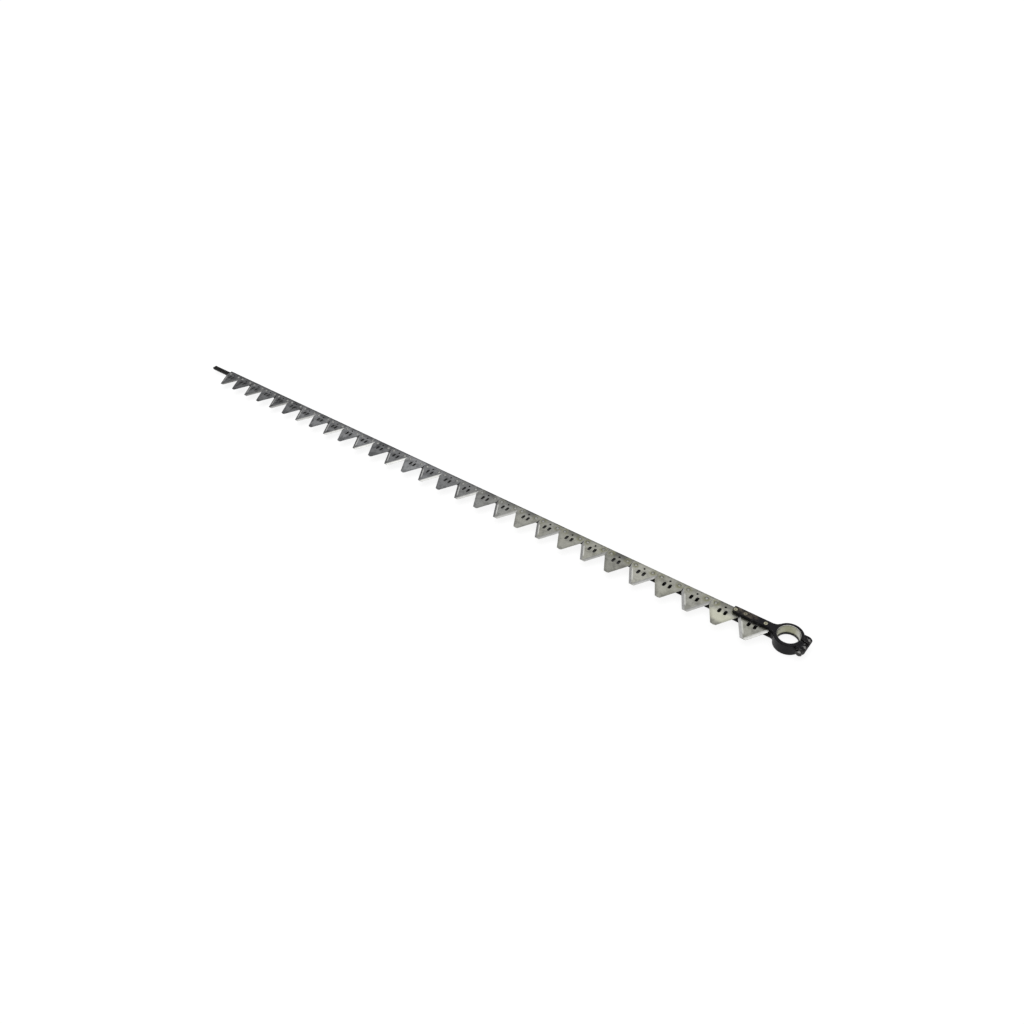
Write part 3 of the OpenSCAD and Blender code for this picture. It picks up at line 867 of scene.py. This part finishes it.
def casting_black(look):
    """Black paint on a cast head, worn on the strap, with a machined bearing seat that has painted highlights
    on its rim and its right side.
    """
    material, nodes, shader = new_material("Casting black")
    skin = patches(nodes, size=0.0025, cover=0.5, softness=0.3, seed=8.0)
    brown = patches(nodes, size=0.02, cover=0.5, softness=0.2, seed=9.0)
    turned = lined(nodes, stretch=0.4, spacing=0.0005)
    wear = nodes.group(edge_wear(), radius=0.0015, gain=2.5, patch_size=0.008, patch_cover=0.5)
    paint = worn_paint(nodes, look, brown, wear["Mask"])

    seat, rim = seat_masks(nodes, look)
    x = nodes.split(nodes.place())[0]
    # Painted highlight on the right side of the seat, over pale patches
    right_side_highlight = nodes.multiply(nodes.ramp(x, *SEAT_HIGHLIGHT_X), 0.8)
    pale = nodes.largest(nodes.multiply(brown, 0.3), right_side_highlight)
    surface = nodes.mix(seat, paint, nodes.mix(pale, look.seat_steel, look.seat_rim_highlight))
    # Painted highlight on the rim of the seat
    surface = nodes.mix(rim, surface, look.seat_rim_highlight)

    bare = nodes.calc("ADD", seat, rim, clamp=True)
    relief = nodes.mix_value(bare, skin, turned)
    nodes.fill(shader, {
        "Base Color": surface,
        "Metallic": bare,
        "Specular IOR Level": BLACK_SPECULAR,
        "Roughness": nodes.mix_value(bare, nodes.scaled(skin, 0.34, 0.5), nodes.scaled(turned, 0.3, 0.42)),
        "Normal": bump(nodes, relief, 0.00008, wear["Round normal"]),
    })
    return material


def bright_rivet(look, section_look):
    """Flush rivet ends, filed bare and slightly yellow, with a dark dimple, and dirt and painted shade round
    them.
    """
    material, nodes, shader = new_material("Bright rivet")
    lines = lined(nodes, stretch=0.01, spacing=0.0005)
    brown = patches(nodes, size=0.005, cover=0.4, softness=0.15, seed=10.0)
    steel = nodes.mix(nodes.multiply(brown, 0.6), look.rivet_bright, look.strap_brown)
    x = nodes.split(nodes.place())[0]
    middle_one = nodes.band(nodes.calc("SUBTRACT", x, LAST_SECTION_X), *MIDDLE_RIVET_FROM_SECTION)
    steel = nodes.mix(nodes.multiply(middle_one, 0.65), steel, look.strap_brown)
    dimple = nodes.ramp(laid_out(nodes, section_look)["Rivet distance"], *DIMPLE_RADIUS)
    # Dirt and painted shade round the flush rivet ends
    dirt = corner_dirt_and_shade(nodes, reach=0.002, strength=1.2)
    dark = nodes.largest(nodes.multiply(dirt, 0.7), nodes.multiply(dimple, 0.6))
    steel = nodes.mix(dark, steel, look.paint_black)
    nodes.fill(shader, {
        "Base Color": steel,
        "Metallic": 1.0,
        "Roughness": nodes.scaled(lines, 0.32, 0.46),
        "Normal": bump(nodes, lines, 0.00005),
    })
    return material


def bolt_black(look):
    """Black oxide, worn bare on the edges and lightened there as painted highlights, with a painted highlight
    streak on top of the head.
    """
    material, nodes, shader = new_material("Bolt black")
    brown = patches(nodes, size=0.004, cover=0.5, softness=0.2, seed=11.0)
    black = nodes.mix(nodes.multiply(brown, 0.6), look.bolt_black, look.bar_rust)
    wear = nodes.group(edge_wear(), radius=0.0012, gain=3.0, patch_size=0.004, patch_cover=0.7)
    # Worn edges, lightened as painted highlights
    black = nodes.mix(nodes.multiply(wear["Mask"], 0.85), black, look.bare_edge_and_highlight)
    x, y, z = nodes.split(nodes.place())
    # Painted highlight streak on top of the bolt head
    rubbed = nodes.multiply(
        nodes.band(nodes.calc("SUBTRACT", x, BOLT_MIDDLE.x), *BOLT_HIGHLIGHT_X),
        nodes.ramp(nodes.calc("SUBTRACT", z, BOLT_MIDDLE.z), *BOLT_HIGHLIGHT_Z),
        nodes.ramp(nodes.calc("SUBTRACT", y, BOLT_LOW.y), *BOLT_HIGHLIGHT_Y),
    )
    black = nodes.mix(rubbed, black, look.bare_edge_and_highlight)
    nodes.fill(shader, {
        "Base Color": black,
        "Metallic": 1.0,
        "Roughness": nodes.scaled(brown, 0.3, 0.45),
        "Normal": bump(nodes, brown, 0.00004, wear["Round normal"]),
    })
    return material


def new_object(name, mesh):
    """An object in the scene from a bmesh, which is freed."""
    data = bpy.data.meshes.new(name)
    mesh.to_mesh(data)
    mesh.free()
    made = bpy.data.objects.new(name, data)
    bpy.context.scene.collection.objects.link(made)
    return made


def dress(material, *names):
    """Gives CAD nodes a material."""
    for name in names:
        slots = CAD_NODES[name].data.materials
        slots.clear()
        slots.append(material)


# Threaded clamp bolt

# Round top of the head against its flats, fall of its corners, ledge of its flange, rings of the thread
ROUND_TOP_SHARE = 0.96
CORNER_FALL = 0.6
FLANGE_LEDGE = 0.0005
RINGS_PER_TURN = 8


def hex_radius(angle, flats):
    """Distance from the middle of a hexagon to its side in a direction."""
    sixth = math.pi / 3
    return flats / 2 / math.cos((angle + sixth / 2) % sixth - sixth / 2)


def thread_radius(angle, along, thread, bolt_length):
    """Radius of the bolt at an angle and a distance from the underside of its head."""
    crest = thread.diameter / 2
    start = bolt_length - thread.threaded
    fade = min(max((along - start) / thread.pitch, 0), 1) * thread.depth
    turn = (along / thread.pitch - angle / math.tau) % 1
    groove = 1 - abs(2 * turn - 1)
    lead = min(max((bolt_length - along) / thread.pitch, 0), 1)
    return crest - fade * groove - thread.depth * (1 - lead)


def bolt_rings(thread, bolt_length):
    """Rings of the bolt from the outer face of the head to the end of the thread: place and radius."""
    top_radius = thread.flats / 2 * ROUND_TOP_SHARE
    flange_radius = thread.flange_diameter / 2
    step_radius = thread.flats / 2 / math.cos(math.pi / 6) + FLANGE_LEDGE

    def side(angle):
        return hex_radius(angle, thread.flats)

    def turned_down(angle):
        return -thread.head_height + (side(angle) - top_radius) * CORNER_FALL

    rings = [
        (lambda angle: -thread.head_height, lambda angle: top_radius),
        (turned_down, side),
        (lambda angle: -thread.flange_height, side),
        (lambda angle: -thread.flange_height, lambda angle: step_radius),
        (lambda angle: -thread.flange_height / 2, lambda angle: flange_radius),
        (lambda angle: 0.0, lambda angle: flange_radius),
        (lambda angle: 0.0, lambda angle: thread.diameter / 2),
    ]
    start = bolt_length - thread.threaded
    steps = round(thread.threaded / thread.pitch * RINGS_PER_TURN)
    for step in range(steps + 1):
        along = start + thread.threaded * step / steps
        rings.append((
            lambda angle, along=along: along,
            lambda angle, along=along: thread_radius(angle, along, thread, bolt_length),
        ))
    return rings


def threaded_bolt(thread):
    """The clamp bolt with a flanged hexagon head and a cut thread."""
    seat_y = BOLT_LOW.y + thread.head_height
    bolt_length = BOLT_HIGH.y - seat_y
    mesh = bmesh.new()
    rows = []
    for place, radius in bolt_rings(thread, bolt_length):
        row = []
        for side in range(thread.turns_sides):
            angle = math.tau * side / thread.turns_sides
            x = BOLT_MIDDLE.x + radius(angle) * math.cos(angle)
            z = BOLT_MIDDLE.z + radius(angle) * math.sin(angle)
            row.append(mesh.verts.new((x, seat_y + place(angle), z)))
        rows.append(row)
    for row, after in zip(rows, rows[1:]):
        for side in range(thread.turns_sides):
            beside = (side + 1) % thread.turns_sides
            mesh.faces.new((row[side], row[beside], after[beside], after[side]))
    mesh.faces.new(rows[0][::-1])
    mesh.faces.new(rows[-1])
    bmesh.ops.recalc_face_normals(mesh, faces=mesh.faces)
    return new_object("threaded_clamp_bolt", mesh)


# Studio

WHITE = (1, 1, 1)
CEILING_EDGE = math.radians(25)
CEILING_FULL = math.radians(60)
SENSOR_WIDTH = 36.0
FARTHEST_VIEW = 200.0

# Edges of the shade on the floor: metres on a section, then sections from the last one and from the first
SHADE_FROM_EDGE = (0.003, 0.009)
SHADE_FROM_TIP = 0.008
SHADE_FRONT = -0.026
SHADE_FROM_HEEL = (-0.001, -0.012)
SHADE_BEFORE_HEAD = (-1.0, -4.0)
SHADE_DEEPENS = (3.0, 9.0)


def shown_directly(nodes):
    """1 for rays from the camera and for rays that mirror or pass through to the background."""
    path = nodes.add("ShaderNodeLightPath").outputs
    seen = nodes.calc("ADD", path["Is Camera Ray"], path["Is Glossy Ray"], clamp=True)
    return nodes.calc("ADD", seen, path["Is Transmission Ray"], clamp=True)


def make_sky(context, studio):
    """A studio with a bright ceiling and darker sides."""
    world = bpy.data.worlds.new("Studio sky")
    world.use_nodes = True
    context.scene.world = world
    nodes = Nodes(world.node_tree)
    upward = nodes.split(nodes.add("ShaderNodeTexCoord").outputs["Generated"])[2]
    ceiling = nodes.ramp(upward, math.sin(CEILING_EDGE), math.sin(CEILING_FULL))
    nodes.fill(world.node_tree.nodes["Background"].inputs, {
        "Color": WHITE,
        "Strength": nodes.scaled(ceiling, studio.sky_low, studio.sky_high),
    })


def section_shade(nodes, studio, look):
    """Shadow of the sections on the floor, thrown from the lens and darkest behind the slots."""
    x, y, _ = nodes.split(nodes.place())
    lens = studio.camera_place
    spread = (SECTION_LOW.z - FLOOR_Z) / (lens[2] - SECTION_LOW.z)
    last_section = SECTION_COUNT - 1.0

    def on_section(floor_place, lens_place):
        moved = nodes.calc("ADD", floor_place, spread * lens_place)
        return nodes.calc("DIVIDE", moved, 1 + spread)

    from_first = nodes.calc("SUBTRACT", on_section(x, lens[0]), FIRST_SECTION_X)
    along = nodes.calc("DIVIDE", from_first, SECTION_PITCH)
    number = nodes.largest(nodes.calc("ROUND", along), 0.0)
    number = nodes.calc("MINIMUM", number, last_section)
    from_middle = nodes.multiply(nodes.apart(along, number), SECTION_PITCH)
    across = on_section(y, lens[1])
    inside = nodes.ramp(edge_distance(nodes, look, from_middle, across), *SHADE_FROM_EDGE)
    front = nodes.ramp(across, -TIP_REACH + SHADE_FROM_TIP, SHADE_FRONT)
    rear = nodes.ramp(nodes.calc("SUBTRACT", across, HEEL_REACH), *SHADE_FROM_HEEL)
    before_head = nodes.ramp(nodes.calc("SUBTRACT", along, last_section), *SHADE_BEFORE_HEAD)
    depth = nodes.scaled(nodes.ramp(along, *SHADE_DEEPENS), studio.tail_shade, studio.floor_shade)
    return nodes.multiply(inside, front, rear, before_head, depth)


def floor_white(studio, look):
    """Matt white with a glow of its own that keeps shadows."""
    material, nodes, shader = new_material("Studio floor")
    open_floor = nodes.opposite(section_shade(nodes, studio, look))
    nodes.fill(shader, {
        "Base Color": shaded(nodes, studio.floor_colour, open_floor),
        "Roughness": 1.0,
        "Specular IOR Level": 0.0,
        "Emission Color": WHITE,
        "Emission Strength": nodes.multiply(shown_directly(nodes), open_floor, studio.floor_glow),
    })
    return material


def make_floor(context, studio):
    """A white floor under the lowest point of the knife."""
    mesh = bmesh.new()
    bmesh.ops.create_grid(mesh, x_segments=1, y_segments=1, size=studio.floor_size / 2)
    floor = new_object("floor", mesh)
    floor.data.materials.append(floor_white(studio, context.scene.sickle_sections))
    floor.location.z = FLOOR_Z


def make_key_lamp(context, studio):
    """A wide soft lamp overhead."""
    lamp = bpy.data.lights.new("overhead_lamp", "SUN")
    lamp.energy = studio.key_strength
    lamp.angle = studio.key_angle
    holder = bpy.data.objects.new("overhead_lamp", lamp)
    holder.rotation_mode = "QUATERNION"
    holder.rotation_quaternion = Vector(studio.key_direction).to_track_quat("Z", "Y")
    context.scene.collection.objects.link(holder)


def make_camera(context, studio):
    """The camera of the photograph."""
    lens = bpy.data.cameras.new("photo_camera")
    lens.sensor_width = SENSOR_WIDTH
    lens.lens = studio.lens
    lens.clip_end = FARTHEST_VIEW
    camera = bpy.data.objects.new("photo_camera", lens)
    look_along = Vector(studio.camera_aim) - Vector(studio.camera_place)
    camera.location = studio.camera_place
    camera.rotation_mode = "QUATERNION"
    roll = Quaternion((0, 0, 1), studio.camera_roll)
    camera.rotation_quaternion = look_along.to_track_quat("-Z", "Y") @ roll
    context.scene.collection.objects.link(camera)
    context.scene.camera = camera


# Operators


class SICKLE_OT_stage(bpy.types.Operator):
    """Set the camera, the lamp, the sky and the floor"""

    bl_idname = "sickle.set_stage"
    bl_label = "Set stage"

    def execute(self, context):
        studio = context.scene.sickle_studio
        context.scene.view_settings.view_transform = "Standard"
        make_camera(context, studio)
        make_sky(context, studio)
        make_floor(context, studio)
        make_key_lamp(context, studio)
        return {"FINISHED"}


class SICKLE_OT_sections(bpy.types.Operator):
    """Finish the knife sections and their rivets"""

    bl_idname = "sickle.finish_sections"
    bl_label = "Finish sections"

    def execute(self, context):
        look = context.scene.sickle_sections
        dress(section_steel(look), *SECTION_NAMES)
        dress(rivet_steel(look), "section_rivets")
        return {"FINISHED"}


class SICKLE_OT_bars(bpy.types.Operator):
    """Finish the knife back and the backing bar"""

    bl_idname = "sickle.finish_bars"
    bl_label = "Finish bars"

    def execute(self, context):
        dress(bar_black(context.scene.sickle_black), "knife_back", "head_backing_bar")
        return {"FINISHED"}


class SICKLE_OT_head(bpy.types.Operator):
    """Finish the knife head and its rivets"""

    bl_idname = "sickle.finish_head"
    bl_label = "Finish knife head"

    def execute(self, context):
        look = context.scene.sickle_black
        dress(casting_black(look), "knife_head")
        dress(bright_rivet(look, context.scene.sickle_sections), "head_rivets")
        return {"FINISHED"}


class SICKLE_OT_clamp(bpy.types.Operator):
    """Cut the clamp bolt's thread and finish the bolt and its nut"""

    bl_idname = "sickle.finish_clamp"
    bl_label = "Finish clamp bolt"

    def execute(self, context):
        material = bolt_black(context.scene.sickle_black)
        bolt = threaded_bolt(context.scene.sickle_thread)
        bolt.data.materials.append(material)
        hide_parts("clamp_bolt")
        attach(bolt, "root")
        dress(material, "clamp_nut")
        return {"FINISHED"}


SETTINGS = {
    "sickle_sections": SectionLook,
    "sickle_black": BlackLook,
    "sickle_thread": ThreadLook,
    "sickle_studio": StudioLook,
}
OPERATORS = (
    SICKLE_OT_stage,
    SICKLE_OT_sections,
    SICKLE_OT_bars,
    SICKLE_OT_head,
    SICKLE_OT_clamp,
)


class SICKLE_PT_panel(bpy.types.Panel):
    """Lists the settings and the steps"""

    bl_idname = "SICKLE_PT_panel"
    bl_label = "Mower sickle"
    bl_space_type = "VIEW_3D"
    bl_region_type = "UI"
    bl_category = "Sickle"

    def draw(self, context):
        for operator in OPERATORS:
            self.layout.operator(operator.bl_idname)
        for name, kind in SETTINGS.items():
            box = self.layout.box()
            box.label(text=kind.__doc__)
            for setting in kind.__annotations__:
                box.prop(getattr(context.scene, name), setting)


CLASSES = (*SETTINGS.values(), *OPERATORS, SICKLE_PT_panel)


def register():
    """Adds the settings, the operators and the panel."""
    for kind in CLASSES:
        bpy.utils.register_class(kind)
    for name, kind in SETTINGS.items():
        setattr(bpy.types.Scene, name, PointerProperty(type=kind))


def unregister():
    """Takes away what register adds."""
    for name in SETTINGS:
        delattr(bpy.types.Scene, name)
    for kind in reversed(CLASSES):
        bpy.utils.unregister_class(kind)


def main():
    """Sets the stage and finishes every piece."""
    register()
    bpy.ops.sickle.set_stage()
    bpy.ops.sickle.finish_sections()
    bpy.ops.sickle.finish_bars()
    bpy.ops.sickle.finish_head()
    bpy.ops.sickle.finish_clamp()


if __name__ == "__main__":
    main()
